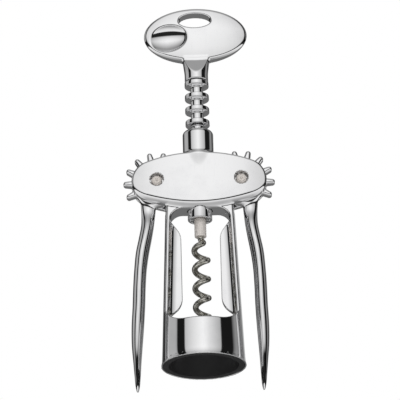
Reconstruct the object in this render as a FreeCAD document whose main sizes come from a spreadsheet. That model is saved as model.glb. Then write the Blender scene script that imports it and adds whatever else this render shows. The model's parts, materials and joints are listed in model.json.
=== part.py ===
import FreeCAD, Part
import math
import os
import Sketcher
from FreeCAD import Placement, Rotation, Vector

# Lever corkscrew, in millimetres. The origin is on the axis of the worm, in the plane of the
# bell's mouth. +Z points up to the knob, +X to the right-hand lever, and -Y is the front.

doc = FreeCAD.newDocument("LeverCorkscrew")
dims = doc.addObject("Spreadsheet::Sheet", "Dims")

DRIVING = [
    # bell and cone of the casting
    ("bell_lip_radius", 19.95),
    ("bell_lip_height", 2.6),
    ("cone_foot_radius", 19.35),
    ("cone_foot_height", 4.4),
    ("cone_head_radius", 16.2),
    ("cone_height", 84.0),
    ("casting_wall", 1.5),
    ("liner_seat_radius", 19.1),
    ("liner_flange", 1.3),
    ("neck_bore_radius", 16.35),
    ("liner_height", 12.0),
    # windows, legs and webs
    ("window_floor", 18.6),
    ("window_corner", 9.5),
    ("arch_height", 77.1),
    ("arch_corner", 5.5),
    ("leg_half_depth", 5.8),
    ("web_thickness", 1.6),
    ("web_inner_edge", 9.15),
    ("web_low", 25.0),
    ("web_high", 71.5),
    ("web_end_drop", 8.5),
    ("web_end_bow", 10.6),
    # head
    ("gear_height", 91.5),
    ("plate_height", 91.4),
    ("plate_half_width", 32.05),
    ("plate_half_height", 13.8),
    ("plate_end_radius", 10.0),
    ("plate_half_depth", 7.4),
    ("plate_end_depth", 5.3),
    ("plate_rim_round", 2.0),
    ("slot_width", 5.0),
    ("collar_radius", 7.35),
    ("collar_shoulder", 115.2),
    ("collar_top", 118.0),
    ("collar_crown_radius", 6.4),
    ("collar_crown_bow", 3.4),
    # gear mesh
    ("tooth_pitch", 6.74),
    ("gear_teeth", 14),
    ("lever_teeth", 11),
    ("rack_pitch_radius", 5.04),
    ("gear_tip_radius", 15.9),
    ("gear_root_radius", 11.6),
    ("gear_thickness", 4.4),
    ("tooth_tip_width", 2.56),
    ("tooth_root_width", 3.6),
    ("tooth_tip_round", 1.0),
    ("mesh_angle", 0.5),
    # levers
    ("lever_length", 103.6),
    ("lever_half_depth", 4.9),
    ("lever_rest_left", 6.0),
    ("lever_rest_right", 4.2),
    # pivot pins
    ("pin_radius", 2.45),
    ("pin_recess_radius", 3.2),
    ("pin_recess_depth", 1.3),
    ("pin_dome", 0.35),
    # rack
    ("rack_radius", 5.8),
    ("rack_core_radius", 3.05),
    ("rack_disc_rim", 2.4),
    ("rack_disc_foot", 2.8),
    ("rack_discs", 10),
    ("rack_top", 143.6),
    ("rack_foot", 72.5),
    ("rack_foot_length", 7.0),
    ("rack_foot_recess", 1.6),
    ("rack_foot_wall", 1.1),
    ("rack_foot_taper", 1.0),
    ("rack_disc_chamfer", 0.5),
    # knob and shank
    ("knob_height", 167.8),
    ("knob_half_width", 24.85),
    ("knob_half_height", 13.9),
    ("knob_half_depth", 3.5),
    ("knob_rim_half_depth", 2.9),
    ("knob_end_half_depth", 1.1),
    ("shank_radius", 5.65),
    ("shank_foot", 143.9),
    ("neck_start", 146.6),
    ("neck_end", 156.0),
    ("neck_end_radius", 6.5),
    ("neck_flat_start", 147.3),
    ("neck_top_half_depth", 2.5),
    ("thumb_hole_x", -0.2),
    ("thumb_hole_height", 175.1),
    ("thumb_hole_half_width", 7.8),
    ("thumb_hole_half_height", 3.6),
    ("dimple_x", -13.4),
    ("dimple_height", 165.95),
    ("dimple_half_width", 9.3),
    ("dimple_half_height", 6.9),
    ("dimple_depth", 2.6),
    ("dimple_sink", 0.45),
    # spindle, washer, ferrule and worm
    ("spindle_radius", 1.6),
    ("spindle_top", 153.0),
    ("spindle_socket_depth", 4.0),
    ("washer_radius", 4.3),
    ("washer_thickness", 0.8),
    ("ferrule_radius", 2.8),
    ("ferrule_low", 64.2),
    ("worm_radius", 4.5),
    ("worm_wire_radius", 1.4),
    ("worm_pitch", 9.45),
    ("worm_tip", 14.2),
    ("worm_shank", 5.0),
    ("worm_drop", 0.57),
    ("worm_lead_turn", 0.55),
    ("worm_point_turn", 0.75),
    ("worm_start_angle", 60.0),
    ("worm_point_share", 0.12),
    # clearances
    ("running_gap", 0.05),
    ("rack_gap", 0.25),
    ("gear_tip_gap", 0.6),
    ("pin_proud", 0.1),
    ("overlap", 1.0),
]
for row, (alias, value) in enumerate(DRIVING, start=1):
    dims.set("A%d" % row, alias)
    dims.set("B%d" % row, repr(value))
    dims.setAlias("B%d" % row, alias)

DERIVED = [
    ("gear_pitch_radius", "=gear_teeth * tooth_pitch / (2 * pi)"),
    ("pivot_x", "=rack_pitch_radius + gear_pitch_radius"),
    ("mesh_shift", "=gear_pitch_radius * mesh_angle * pi / 180"),
    ("lever_rest_mean", "=(lever_rest_left + lever_rest_right) / 2"),
    ("tooth_step", "=360 / gear_teeth"),
    ("cone_slope", "=(cone_foot_radius - cone_head_radius) / (cone_height - cone_foot_height)"),
    ("rack_bore_radius", "=spindle_radius + running_gap"),
    ("collar_bore_radius", "=rack_radius + rack_gap"),
    ("gear_clear_radius", "=gear_tip_radius + gear_tip_gap"),
    ("top_disc_height", "=gear_height + mesh_shift + 7.5 * tooth_pitch"),
    ("pin_face", "=plate_end_depth + pin_proud"),
    ("washer_low", "=rack_foot + rack_foot_recess - washer_thickness - running_gap"),
    ("ferrule_top", "=washer_low - running_gap"),
]
for row, (alias, formula) in enumerate(DERIVED, start=len(DRIVING) + 2):
    dims.set("A%d" % row, alias)
    dims.set("B%d" % row, formula)
    dims.setAlias("B%d" % row, alias)
doc.recompute()


def value(formula):
    """The present number of a formula written with the sheet's names."""
    result = dims.evalExpression(named(formula))
    return float(getattr(result, "Value", result))


def named(formula):
    """Turn plain sheet names in a formula into references such as Dims.cone_height."""
    text = str(formula)
    out = ""
    word = ""
    for letter in text + " ":
        if letter.isalnum() or letter in "_.":
            word += letter
            continue
        known = word in ALIASES
        out += ("Dims." + word if known else word) + letter
        word = ""
    return out.rstrip()


ALIASES = {alias for alias, _ in DRIVING + DERIVED}


def bind(target, bindings):
    """Bind properties of an object to formulas of the sheet."""
    for path, formula in bindings.items():
        target.setExpression(path, named(formula))
    return target


def place(target, x="0", y="0", z="0"):
    """Bind the place of an object to formulas of the sheet."""
    for axis, formula in (("x", x), ("y", y), ("z", z)):
        target.setExpression("Placement.Base." + axis, named(formula))
    return target


def turned(target, axis, angle=90.0):
    """Turn an object about an axis through its own origin."""
    target.Placement = Placement(Vector(), Rotation(axis, angle))
    return target


def cylinder(name, radius, length, x="0", y="0", z="0", along=None):
    solid = doc.addObject("Part::Cylinder", name)
    if along == "y":
        turned(solid, Vector(1, 0, 0), -90.0)
    bind(solid, {"Radius": radius, "Height": length})
    return place(solid, x, y, z)


def box(name, length, width, height, x, y, z):
    solid = doc.addObject("Part::Box", name)
    bind(solid, {"Length": length, "Width": width, "Height": height})
    return place(solid, x, y, z)


def ellipsoid(name, half_x, half_y, half_z, x="0", y="0", z="0"):
    solid = doc.addObject("Part::Ellipsoid", name)
    bind(solid, {"Radius1": half_z, "Radius2": half_x, "Radius3": half_y})
    solid.Angle1 = -90
    solid.Angle2 = 90
    solid.Angle3 = 360
    return place(solid, x, y, z)


def fused(name, solids):
    joined = doc.addObject("Part::MultiFuse", name)
    joined.Shapes = solids
    joined.Refine = True
    return joined


def cut(name, base, tool):
    result = doc.addObject("Part::Cut", name)
    result.Base = base
    result.Tool = tool
    return result


def common(name, first, second):
    result = doc.addObject("Part::Common", name)
    result.Base = first
    result.Tool = second
    return result


def plane_of(body, role):
    return next(item for item in body.Origin.OriginFeatures if item.Role == role)


def outline(body, name, role, steps):
    """A closed sketch. Each step is (x, y) or (x, y, radius, side): its edge to the next point is
    straight, or an arc of that radius whose centre lies on the left (+1) or the right (-1)."""
    sketch = body.newObject("Sketcher::SketchObject", name)
    sketch.AttachmentSupport = [(plane_of(body, role), "")]
    sketch.MapMode = "FlatFace"
    spots = [Vector(value(step[0]), value(step[1]), 0) for step in steps]
    ends = []
    for index, step in enumerate(steps):
        start = spots[index]
        stop = spots[(index + 1) % len(spots)]
        if len(step) == 2:
            sketch.addGeometry(Part.LineSegment(start, stop), False)
            ends.append((1, 2))
            continue
        radius = value(step[2])
        run = stop - start
        half = run.Length / 2
        left = Vector(-run.y, run.x, 0).normalize()
        drop = math.sqrt(max(radius ** 2 - half ** 2, 0.0))
        middle = (start + stop) / 2 - left * step[3] * (radius - drop)
        sketch.addGeometry(Part.Arc(start, middle, stop), False)
        ends.append((1, 2) if step[3] > 0 else (2, 1))
    count = len(steps)
    for index in range(count):
        following = (index + 1) % count
        sketch.addConstraint(Sketcher.Constraint(
            "Coincident", index, ends[index][1], following, ends[following][0]))
    for index, step in enumerate(steps):
        corner = ends[index][0]
        for kind, axis_line, formula, size in (
                ("DistanceX", -2, step[0], spots[index].x),
                ("DistanceY", -1, step[1], spots[index].y)):
            if abs(size) < 1e-9:
                sketch.addConstraint(
                    Sketcher.Constraint("PointOnObject", index, corner, axis_line))
                continue
            number = sketch.addConstraint(
                Sketcher.Constraint(kind, -1, 1, index, corner, size))
            label = "%s_%d" % (kind, index)
            sketch.renameConstraint(number, label)
            sketch.setExpression("Constraints." + label, named(formula))
        if len(step) > 2:
            number = sketch.addConstraint(
                Sketcher.Constraint("Radius", index, value(step[2])))
            label = "Radius_%d" % index
            sketch.renameConstraint(number, label)
            sketch.setExpression("Constraints." + label, named(step[2]))
    return sketch


def new_body(name):
    return doc.addObject("PartDesign::Body", name)


def revolve(body, sketch, axis="V_Axis"):
    feature = body.newObject("PartDesign::Revolution", sketch.Name + "Turn")
    feature.Profile = sketch
    feature.ReferenceAxis = (sketch, [axis])
    feature.Angle = 360
    sketch.Visibility = False
    return feature


def pad_both_ways(body, sketch, length):
    feature = body.newObject("PartDesign::Pad", sketch.Name + "Pad")
    feature.Profile = sketch
    feature.Midplane = True
    bind(feature, {"Length": length})
    return feature


def finished(source, name):
    """Name a finished piece after its node."""
    source.Label = name
    PIECES.append((name, source))
    return source


PIECES = []


def cone_at(height):
    """Formula of the cone's outer radius at a height."""
    return "cone_foot_radius - cone_slope * (%s - cone_foot_height)" % height


# frame, one casting
def casting_outside():
    body = new_body("CastingOutside")
    sketch = outline(body, "CastingOutline", "XZ_Plane", [
        ("0", "0"),
        ("bell_lip_radius", "0"),
        ("bell_lip_radius", "bell_lip_height"),
        ("cone_foot_radius", "cone_foot_height"),
        ("cone_head_radius", "cone_height"),
        ("0", "cone_height"),
    ])
    revolve(body, sketch)
    return body


def casting_cavity():
    shoulder = "arch_height - arch_corner"
    top_radius = "(%s) - casting_wall" % cone_at("(%s)" % shoulder)
    body = new_body("CastingCavity")
    sketch = outline(body, "CavityOutline", "XZ_Plane", [
        ("0", "-overlap"),
        ("liner_seat_radius", "-overlap"),
        ("liner_seat_radius", "liner_flange"),
        ("(%s) - casting_wall" % cone_at("liner_flange"), "liner_flange"),
        (top_radius, shoulder, "arch_corner", 1),
        ("%s - arch_corner" % top_radius, "arch_height"),
        ("0", "arch_height"),
    ])
    revolve(body, sketch)
    return body


def window(name, front):
    """The space in front of or behind the legs, closed at the bottom by rounded corners."""
    reach = "bell_lip_radius + 5"
    half = "sqrt((%s)^2 - leg_half_depth^2) + 0.2" % cone_at("window_floor")
    body = new_body(name)
    sketch = outline(body, name + "Outline", "XZ_Plane", [
        ("-(%s) + window_corner" % half, "window_floor"),
        ("(%s) - window_corner" % half, "window_floor", "window_corner", 1),
        (half, "window_floor + window_corner"),
        (half, "cone_height + overlap"),
        ("-(%s)" % half, "cone_height + overlap"),
        ("-(%s)" % half, "window_floor + window_corner", "window_corner", 1),
    ])
    feature = body.newObject("PartDesign::Pad", name + "Pad")
    feature.Profile = sketch
    bind(feature, {"Length": "%s - leg_half_depth" % reach})
    place(body, y="-leg_half_depth" if front else reach)
    return body


def web(name, side):
    """Flat rib inside a leg, with a rounded shoulder at each end."""
    low_root = "%s * ((%s) - casting_wall / 2)" % (side, cone_at("web_low"))
    high_root = "%s * ((%s) - casting_wall / 2)" % (side, cone_at("web_high"))
    inner = "%s * web_inner_edge" % side
    high_start = "%s * ((%s) - casting_wall)" % (side, cone_at("web_high"))
    low_start = "%s * ((%s) - casting_wall)" % (side, cone_at("web_low"))
    bow = 1 if side > 0 else -1
    body = new_body(name)
    sketch = outline(body, name + "Outline", "XZ_Plane", [
        (inner, "web_low + web_end_drop"),
        (inner, "web_high - web_end_drop", "web_end_bow", -bow),
        (high_start, "web_high"),
        (high_root, "web_high"),
        (low_root, "web_low"),
        (low_start, "web_low", "web_end_bow", -bow),
    ])
    pad_both_ways(body, sketch, "web_thickness")
    return body


def head_plate():
    """Oval plate: two end arcs and two long arcs that meet them tangentially, domed on both faces."""
    run = "(plate_half_width - plate_end_radius)"
    rise = "plate_half_height"
    end = "plate_end_radius"
    long_arc = "((%s^2 + %s^2 - %s^2) / (2 * (%s - %s)))" % (run, rise, end, rise, end)
    share = "(%s / (%s - %s))" % (end, long_arc, end)
    touch_x = "(%s + %s * %s)" % (run, share, run)
    touch_z = "(%s * (%s - %s))" % (share, long_arc, rise)
    body = new_body("PlateOval")
    sketch = outline(body, "PlateOvalOutline", "XZ_Plane", [
        (touch_x, "plate_height - %s" % touch_z, end, 1),
        (touch_x, "plate_height + %s" % touch_z, long_arc, 1),
        ("-%s" % touch_x, "plate_height + %s" % touch_z, end, 1),
        ("-%s" % touch_x, "plate_height - %s" % touch_z, long_arc, 1),
    ])
    pad_both_ways(body, sketch, "2 * plate_half_depth + 2 * overlap")
    half = "(plate_half_width + overlap)"
    sag = "(plate_half_depth - plate_end_depth)"
    dome = "((%s^2 + %s^2) / (2 * %s))" % (half, sag, sag)
    lens = new_body("PlateDome")
    sketch = outline(lens, "PlateDomeOutline", "XY_Plane", [
        ("-%s" % half, "-plate_end_depth", dome, 1),
        (half, "-plate_end_depth"),
        (half, "plate_end_depth", dome, 1),
        ("-%s" % half, "plate_end_depth"),
    ])
    feature = lens.newObject("PartDesign::Pad", "PlateDomePad")
    feature.Profile = sketch
    bind(feature, {"Length": "2 * plate_half_height + 2 * overlap"})
    place(lens, z="plate_height - plate_half_height - overlap")
    plate = common("PlateBlank", body, lens)
    doc.recompute()
    rim = doc.addObject("Part::Fillet", "PlateRounded")
    rim.Base = plate
    size = value("plate_rim_round")
    edges = []
    for number, edge in enumerate(plate.Shape.Edges, start=1):
        middle = edge.valueAt((edge.FirstParameter + edge.LastParameter) / 2)
        straight_across = abs(edge.BoundBox.YLength - edge.Length) < 1e-3
        if not straight_across and abs(middle.y) > 1:
            edges.append((number, size, size))
    rim.Edges = edges
    return rim


def collar():
    body = new_body("Collar")
    sketch = outline(body, "CollarOutline", "XZ_Plane", [
        ("0", "arch_height"),
        ("collar_radius", "arch_height"),
        ("collar_radius", "collar_shoulder", "collar_crown_bow", 1),
        ("collar_crown_radius", "collar_top"),
        ("0", "collar_top"),
    ])
    revolve(body, sketch)
    return body


def frame():
    shell = cut("CastingShell", casting_outside(), casting_cavity())
    legs = cut("CastingFront", shell, window("FrontWindow", True))
    legs = cut("CastingLegs", legs, window("RearWindow", False))
    solid = fused("CastingSolid", [
        legs, web("RightWeb", 1), web("LeftWeb", -1), head_plate(), collar()])
    bore = cylinder("RackBore", "collar_bore_radius", "collar_top - arch_height + 2 * arch_corner",
                    z="arch_height - arch_corner")
    solid = cut("CastingBored", solid, bore)
    for side, word in ((-1, "Left"), (1, "Right")):
        x = "%d * pivot_x" % side
        room = cylinder("GearRoom" + word, "gear_clear_radius", "slot_width",
                        x=x, y="-slot_width / 2", z="gear_height", along="y")
        hole = cylinder("PinHole" + word, "pin_radius", "4 * plate_half_depth",
                        x=x, y="-2 * plate_half_depth", z="gear_height", along="y")
        front = cylinder("FrontRecess" + word, "pin_recess_radius", "plate_half_depth",
                         x=x, y="-plate_half_depth - pin_face + pin_recess_depth",
                         z="gear_height", along="y")
        rear = cylinder("RearRecess" + word, "pin_recess_radius", "plate_half_depth",
                        x=x, y="pin_face - pin_recess_depth", z="gear_height", along="y")
        solid = cut("Casting" + word, solid, fused("PivotRoom" + word, [room, hole, front, rear]))
    finished(solid, "frame")


# bell liner
def bell_liner():
    body = new_body("BellLiner")
    sketch = outline(body, "LinerOutline", "XZ_Plane", [
        ("neck_bore_radius", "0"),
        ("liner_seat_radius", "0"),
        ("liner_seat_radius", "liner_flange"),
        ("(%s) - casting_wall" % cone_at("liner_flange"), "liner_flange"),
        ("(%s) - casting_wall" % cone_at("liner_height"), "liner_height"),
        ("neck_bore_radius", "liner_height"),
    ])
    revolve(body, sketch)
    finished(body, "bell_liner")


# pivot pins
def pivot_pin(name, side):
    body = new_body("Pin" + name.title().replace("_", ""))
    dome = "((pin_radius^2 + pin_dome^2) / (2 * pin_dome))"
    sketch = outline(body, body.Name + "Outline", "XY_Plane", [
        ("0", "-pin_face - pin_dome", dome, 1),
        ("pin_radius", "-pin_face"),
        ("pin_radius", "pin_face", dome, 1),
        ("0", "pin_face + pin_dome"),
    ])
    revolve(body, sketch)
    place(body, x="%d * pivot_x" % side, z="gear_height")
    finished(body, name)


# levers
# Stations of the arm, straight down from the pivot: share of the lever's length, outward
# offset of the section's centre, its half width, and its share of the full half depth.
ARM = [
    (0.095, 3.10, 3.70, 0.42),
    (0.150, 2.75, 3.30, 0.46),
    (0.205, 2.60, 3.05, 0.76),
    (0.270, 3.10, 3.10, 0.95),
    (0.340, 3.80, 3.15, 1.00),
    (0.420, 4.00, 3.00, 1.00),
    (0.500, 3.75, 3.00, 1.00),
    (0.600, 3.15, 3.00, 0.98),
    (0.700, 2.75, 2.95, 0.94),
    (0.790, 2.20, 2.55, 0.86),
    (0.870, 1.40, 1.90, 0.70),
    (0.930, 0.75, 1.45, 0.50),
    (0.980, 0.25, 0.95, 0.32),
    (1.000, 0.00, 0.40, 0.14),
]


def lever_arm(word, side):
    rings = []
    for number, (share, offset, half, depth) in enumerate(ARM):
        ring = doc.addObject("Part::Ellipse", "%sArm%d" % (word, number))
        wide = value("lever_half_depth * %g" % depth) >= half
        long_side, short_side = ("MajorRadius", "MinorRadius") if wide else ("MinorRadius", "MajorRadius")
        turned(ring, Vector(0, 0, 1), 90.0 if wide else 0.0)
        bind(ring, {
            long_side: "lever_half_depth * %g" % depth,
            short_side: "%g" % half,
            "Placement.Base.x": "%g" % (side * offset),
            "Placement.Base.z": "-lever_length * %g" % share,
        })
        rings.append(ring)
    arm = doc.addObject("Part::Loft", word + "Arm")
    arm.Sections = rings
    arm.Solid = True
    return arm


def lever_gear(word, side):
    """Toothed disc whose finger teeth stand where they mesh with the rack at rest."""
    body = new_body(word + "Gear")
    disc = body.newObject("Sketcher::SketchObject", word + "GearDisc")
    disc.AttachmentSupport = [(plane_of(body, "XZ_Plane"), "")]
    disc.MapMode = "FlatFace"
    disc.addGeometry(Part.Circle(Vector(), Vector(0, 0, 1), value("gear_root_radius")), False)
    disc.addConstraint(Sketcher.Constraint("Coincident", 0, 3, -1, 1))
    disc.addConstraint(Sketcher.Constraint("Radius", 0, value("gear_root_radius")))
    disc.renameConstraint(1, "RootRadius")
    disc.setExpression("Constraints.RootRadius", named("gear_root_radius"))
    pad_both_ways(body, disc, "gear_thickness")
    half_tip = "tooth_tip_width / 2"
    crown = "(((tooth_tip_width / 2)^2 + tooth_tip_round^2) / (2 * tooth_tip_round))"
    tooth = outline(body, word + "Tooth", "XZ_Plane", [
        ("gear_root_radius - overlap", "-tooth_root_width / 2"),
        ("gear_tip_radius - tooth_tip_round", "-%s" % half_tip, crown, 1),
        ("gear_tip_radius - tooth_tip_round", half_tip),
        ("gear_root_radius - overlap", "tooth_root_width / 2"),
    ])
    pad = pad_both_ways(body, tooth, "gear_thickness")
    doc.recompute()
    ring = body.newObject("PartDesign::PolarPattern", word + "Teeth")
    ring.Originals = [pad]
    ring.Axis = (tooth, ["N_Axis"])
    ring.Mode = "Extent"
    bind(ring, {"Angle": "tooth_step * (lever_teeth - 1)", "Occurrences": "lever_teeth"})
    body.Tip = ring
    # the first tooth of the row stands two steps below the tooth that faces the rack
    turned(body, Vector(0, 1, 0), 1.0)
    first = "(mesh_angle + lever_rest_mean - 2 * tooth_step)"
    if side < 0:
        body.setExpression("Placement.Rotation.Angle", named("-%s" % first))
        ring.Reversed = False
    else:
        body.setExpression("Placement.Rotation.Angle", named("180 + %s" % first))
        ring.Reversed = True
    return body


def lever(name, side, rest):
    word = name.title().replace("_", "")
    arm = lever_arm(word, side)
    blank = fused(word + "Blank", [lever_gear(word, side), arm])
    hole = cylinder(word + "Hole", "pin_radius + running_gap", "4 * gear_thickness",
                    y="-2 * gear_thickness", along="y")
    solid = cut(word + "Solid", blank, hole)
    turned(solid, Vector(0, -side, 0), 1.0)
    solid.setExpression("Placement.Rotation.Angle", named(rest))
    place(solid, x="%d * pivot_x" % side, z="gear_height")
    finished(solid, name)


# rack
def rack():
    """Sleeve with a row of discs, so that the gears mesh with it all round."""
    foot_inner = "rack_radius - rack_foot_wall"
    body = new_body("RackSleeve")
    sketch = outline(body, "RackCore", "XZ_Plane", [
        ("rack_bore_radius", "rack_foot + rack_foot_recess"),
        (foot_inner, "rack_foot + rack_foot_recess"),
        (foot_inner, "rack_foot"),
        ("rack_radius", "rack_foot"),
        ("rack_radius", "rack_foot + rack_foot_length"),
        ("rack_core_radius", "rack_foot + rack_foot_length + rack_foot_taper"),
        ("rack_core_radius", "rack_top"),
        ("rack_bore_radius", "rack_top"),
    ])
    revolve(body, sketch)
    half_foot = "rack_disc_foot / 2"
    half_rim = "rack_disc_rim / 2"
    edge = "rack_radius - rack_disc_chamfer"
    land = "(%s - rack_disc_chamfer)" % half_rim
    disc = outline(body, "RackDisc", "XZ_Plane", [
        ("rack_core_radius - running_gap", "top_disc_height - %s" % half_foot),
        (edge, "top_disc_height - %s" % half_rim),
        ("rack_radius", "top_disc_height - %s" % land),
        ("rack_radius", "top_disc_height + %s" % land),
        (edge, "top_disc_height + %s" % half_rim),
        ("rack_core_radius - running_gap", "top_disc_height + %s" % half_foot),
    ])
    turn = revolve(body, disc)
    doc.recompute()
    row = body.newObject("PartDesign::LinearPattern", "RackDiscs")
    row.Originals = [turn]
    row.Direction = (disc, ["V_Axis"])
    row.Reversed = True
    row.Mode = "Extent"
    bind(row, {"Length": "tooth_pitch * (rack_discs - 1)", "Occurrences": "rack_discs"})
    body.Tip = row
    finished(body, "rack")


# knob with its shank
def knob():
    oval = doc.addObject("Part::Ellipse", "KnobOval")
    turned(oval, Vector(1, 0, 0), 90.0)
    bind(oval, {"MajorRadius": "knob_half_width", "MinorRadius": "knob_half_height"})
    place(oval, z="knob_height")
    block = doc.addObject("Part::Extrusion", "KnobBlock")
    block.Base = oval
    block.Dir = Vector(0, 1, 0)
    block.DirMode = "Custom"
    block.Solid = True
    block.Symmetric = True
    bind(block, {"LengthFwd": "4 * knob_half_depth"})
    across = "sqrt(1 - (knob_end_half_depth / knob_half_depth)^2)"
    upright = "sqrt(1 - (knob_rim_half_depth / knob_half_depth)^2)"
    lens = ellipsoid("KnobLens", "knob_half_width / %s" % across, "knob_half_depth",
                     "knob_half_height / %s" % upright, z="knob_height")
    face = common("KnobFace", block, lens)
    shank = cylinder("Shank", "shank_radius", "neck_end - shank_foot", z="shank_foot")
    flare = doc.addObject("Part::Cone", "NeckFlare")
    bind(flare, {"Radius1": "shank_radius", "Radius2": "neck_end_radius",
                 "Height": "neck_end - neck_start"})
    place(flare, z="neck_start")
    wedge = new_body("NeckWedge")
    flanks = outline(wedge, "NeckFlanks", "YZ_Plane", [
        ("-2 * shank_radius", "shank_foot - overlap"),
        ("2 * shank_radius", "shank_foot - overlap"),
        ("2 * shank_radius", "neck_flat_start"),
        ("shank_radius", "neck_flat_start"),
        ("neck_top_half_depth", "neck_end"),
        ("-neck_top_half_depth", "neck_end"),
        ("-shank_radius", "neck_flat_start"),
        ("-2 * shank_radius", "neck_flat_start"),
    ])
    pad_both_ways(wedge, flanks, "4 * neck_end_radius")
    neck = common("Neck", fused("NeckBlank", [shank, flare]), wedge)
    solid = fused("KnobBlank", [face, neck])
    hole_oval = doc.addObject("Part::Ellipse", "ThumbHoleOval")
    turned(hole_oval, Vector(1, 0, 0), 90.0)
    bind(hole_oval, {"MajorRadius": "thumb_hole_half_width",
                     "MinorRadius": "thumb_hole_half_height"})
    place(hole_oval, x="thumb_hole_x", z="thumb_hole_height")
    hole = doc.addObject("Part::Extrusion", "ThumbHole")
    hole.Base = hole_oval
    hole.Dir = Vector(0, 1, 0)
    hole.DirMode = "Custom"
    hole.Solid = True
    hole.Symmetric = True
    bind(hole, {"LengthFwd": "4 * knob_half_depth"})
    dimple = ellipsoid("Dimple", "dimple_half_width", "dimple_depth", "dimple_half_height",
                       x="dimple_x", y="-knob_half_depth + dimple_sink", z="dimple_height")
    socket = cylinder("SpindleSocket", "spindle_radius", "spindle_top - shank_foot + overlap",
                      z="shank_foot - overlap")
    solid = cut("KnobSolid", solid, fused("KnobCuts", [hole, dimple, socket]))
    finished(solid, "knob")


# spindle, washer, ferrule
def spindle():
    body = cylinder("Spindle", "spindle_radius", "spindle_top - ferrule_top + spindle_socket_depth",
                    z="ferrule_top - spindle_socket_depth")
    finished(body, "spindle")


def washer():
    disc = cylinder("WasherDisc", "washer_radius", "washer_thickness", z="washer_low")
    hole = cylinder("WasherHole", "spindle_radius + running_gap", "3 * washer_thickness",
                    z="washer_low - washer_thickness")
    finished(cut("Washer", disc, hole), "thrust_washer")


def ferrule():
    tube = cylinder("FerruleTube", "ferrule_radius", "ferrule_top - ferrule_low", z="ferrule_low")
    upper = cylinder("FerruleSpindleBore", "spindle_radius", "spindle_socket_depth + overlap",
                     z="ferrule_top - spindle_socket_depth")
    lower = cylinder("FerruleWormBore", "worm_wire_radius",
                     "ferrule_top - spindle_socket_depth - ferrule_low + overlap",
                     z="ferrule_low - overlap")
    finished(cut("Ferrule", tube, fused("FerruleBores", [upper, lower])), "worm_ferrule")


# worm
def worm_path(first, last, steps):
    """Points of the wire's centre line between two turn counts. The wire leaves the axis and
    reaches its full radius within the lead-in, then runs on as a right-handed helix."""
    radius = value("worm_radius - worm_wire_radius")
    pitch = value("worm_pitch")
    start = value("ferrule_low - worm_drop")
    lead = value("worm_lead_turn")
    points = []
    for number in range(steps + 1):
        turn = first + (last - first) * number / steps
        share = min(turn / lead, 1.0)
        reach = radius * share * share * (3 - 2 * share)
        angle = math.radians(value("worm_start_angle")) - 2 * math.pi * turn
        points.append(Vector(reach * math.cos(angle), reach * math.sin(angle),
                             start - pitch * turn))
    return points


def worm():
    """Wire of constant section with a tapered point, and a straight shank up into the ferrule."""
    wire_radius = value("worm_wire_radius")
    top = value("ferrule_low - worm_drop")
    turns = (top - value("worm_tip")) / value("worm_pitch")
    main_end = turns - value("worm_point_turn")
    coil_steps = int(main_end * 24)
    point_steps = 18
    curve = Part.BSplineCurve()
    curve.interpolate(worm_path(0.0, main_end, coil_steps))
    start = curve.value(curve.FirstParameter)
    heading = curve.tangent(curve.FirstParameter)[0]
    ring = Part.Wire(Part.Circle(start, heading, wire_radius).toShape())
    coil = Part.Wire(curve.toShape()).makePipeShell([ring], True, False)
    point = Part.BSplineCurve()
    point.interpolate(worm_path(main_end, turns, point_steps))
    rings = []
    for share, scale in ((0.0, 1.0), (1.0, value("worm_point_share"))):
        spot = point.FirstParameter + (point.LastParameter - point.FirstParameter) * share
        rings.append(Part.Wire(Part.Circle(
            point.value(spot), point.tangent(spot)[0], wire_radius * scale).toShape()))
    tip = Part.Wire(point.toShape()).makePipeShell(rings, True, False)
    shank = Part.makeCylinder(wire_radius, value("worm_shank + worm_drop"), Vector(0, 0, top))
    ball = Part.makeSphere(wire_radius, start)
    joint = Part.makeSphere(wire_radius, curve.value(curve.LastParameter))
    piece = doc.addObject("Part::Feature", "Worm")
    piece.Shape = coil.fuse([tip, shank, ball, joint])
    finished(piece, "worm")


# build and write
frame()
bell_liner()
pivot_pin("pivot_pin_left", -1)
pivot_pin("pivot_pin_right", 1)
lever("lever_left", -1, "lever_rest_left")
lever("lever_right", 1, "lever_rest_right")
rack()
knob()
spindle()
washer()
ferrule()
worm()
doc.recompute()

for item in doc.Objects:
    if "Invalid" in item.State or "Error" in item.State:
        raise RuntimeError("%s failed: %s" % (item.Name, item.State))
for name, source in PIECES:
    if source.Shape.isNull() or not source.Shape.isValid():
        raise RuntimeError("%s has no valid shape" % name)

os.makedirs("parts", exist_ok=True)
for name, source in PIECES:
    shape = source.Shape
    shape.exportStep("parts/%s.step" % name)
    bounds = shape.BoundBox
    print("%-16s solids %d volume %9.2f  x %.2f..%.2f  y %.2f..%.2f  z %.2f..%.2f" % (
        name, len(shape.Solids), shape.Volume, bounds.XMin, bounds.XMax,
        bounds.YMin, bounds.YMax, bounds.ZMin, bounds.ZMax))
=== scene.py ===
import json
import math
import bmesh
import bpy
import numpy as np
from mathutils import Matrix, Vector


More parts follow.
